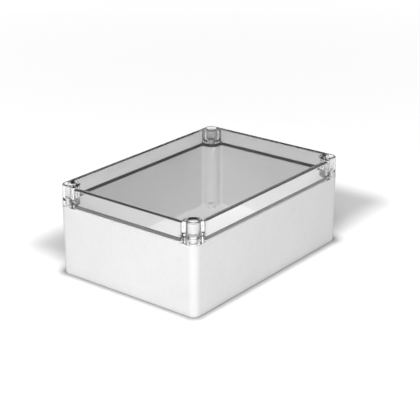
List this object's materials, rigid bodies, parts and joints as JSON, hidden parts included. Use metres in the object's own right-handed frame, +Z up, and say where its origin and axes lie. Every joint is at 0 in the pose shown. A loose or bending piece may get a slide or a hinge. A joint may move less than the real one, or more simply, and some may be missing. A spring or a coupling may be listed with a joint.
{
  "type": "abs enclosure",
  "caption": "Rectangular ABS wall box with a clear screwed lid, a rubber seal in the lid and captive plastic corner screws over metal inserts.",
  "frame": {"origin": "middle of the face the box stands on", "axes": "+X along the box's length, +Y along its width towards the back, +Z up through the lid"},
  "size_m": [0.254, 0.18, 0.1],
  "materials": {
    "abs_base": "fine satin moulded ABS, very light grey",
    "clear_lid": "clear polished polycarbonate",
    "seal_rubber": "matt dark grey foam rubber",
    "screw_plastic": "satin light grey polyamide",
    "ring_rubber": "matt grey rubber",
    "insert_metal": "turned brass, nickel plated"
  },
  "bodies": {
    "base": {"enclosure_base": "abs_base", "lid_insert_front_left": "insert_metal", "lid_insert_front_right": "insert_metal", "lid_insert_back_right": "insert_metal", "lid_insert_back_left": "insert_metal", "floor_insert_front_left": "insert_metal", "floor_insert_front_right": "insert_metal", "floor_insert_back_right": "insert_metal", "floor_insert_back_left": "insert_metal"},
    "lid": {"clear_lid": "clear_lid", "lid_gasket": "seal_rubber"},
    "ring_front_left": {"screw_ring_front_left": "ring_rubber"},
    "screw_front_left": {"lid_screw_front_left": "screw_plastic"},
    "ring_front_right": {"screw_ring_front_right": "ring_rubber"},
    "screw_front_right": {"lid_screw_front_right": "screw_plastic"},
    "ring_back_right": {"screw_ring_back_right": "ring_rubber"},
    "screw_back_right": {"lid_screw_back_right": "screw_plastic"},
    "ring_back_left": {"screw_ring_back_left": "ring_rubber"},
    "screw_back_left": {"lid_screw_back_left": "screw_plastic"}
  },
  "joints": [
    {"name": "lid_lift", "type": "slide", "parent": "base", "child": "lid", "axis": [0, 0, 1], "range_m": [0, 0.06]},
    {"name": "screw_rise_front_left", "type": "slide", "parent": "lid", "child": "ring_front_left", "axis": [0, 0, 1], "range_m": [0, 0.009]},
    {"name": "screw_turn_front_left", "type": "hinge", "parent": "ring_front_left", "child": "screw_front_left", "pos_m": [-0.1184, -0.0814, 0.09], "axis": [0, 0, 1], "range_deg": [0, 3240]},
    {"name": "screw_rise_front_right", "type": "slide", "parent": "lid", "child": "ring_front_right", "axis": [0, 0, 1], "range_m": [0, 0.009]},
    {"name": "screw_turn_front_right", "type": "hinge", "parent": "ring_front_right", "child": "screw_front_right", "pos_m": [0.1184, -0.0814, 0.09], "axis": [0, 0, 1], "range_deg": [0, 3240]},
    {"name": "screw_rise_back_right", "type": "slide", "parent": "lid", "child": "ring_back_right", "axis": [0, 0, 1], "range_m": [0, 0.009]},
    {"name": "screw_turn_back_right", "type": "hinge", "parent": "ring_back_right", "child": "screw_back_right", "pos_m": [0.1184, 0.0814, 0.09], "axis": [0, 0, 1], "range_deg": [0, 3240]},
    {"name": "screw_rise_back_left", "type": "slide", "parent": "lid", "child": "ring_back_left", "axis": [0, 0, 1], "range_m": [0, 0.009]},
    {"name": "screw_turn_back_left", "type": "hinge", "parent": "ring_back_left", "child": "screw_back_left", "pos_m": [-0.1184, 0.0814, 0.09], "axis": [0, 0, 1], "range_deg": [0, 3240]}
  ],
  "couplings": [
    {"joint": "screw_turn_front_left", "follows": "screw_rise_front_left", "rad_per_m": 6283.2},
    {"joint": "screw_turn_front_right", "follows": "screw_rise_front_right", "rad_per_m": 6283.2},
    {"joint": "screw_turn_back_right", "follows": "screw_rise_back_right", "rad_per_m": 6283.2},
    {"joint": "screw_turn_back_left", "follows": "screw_rise_back_left", "rad_per_m": 6283.2}
  ]
}
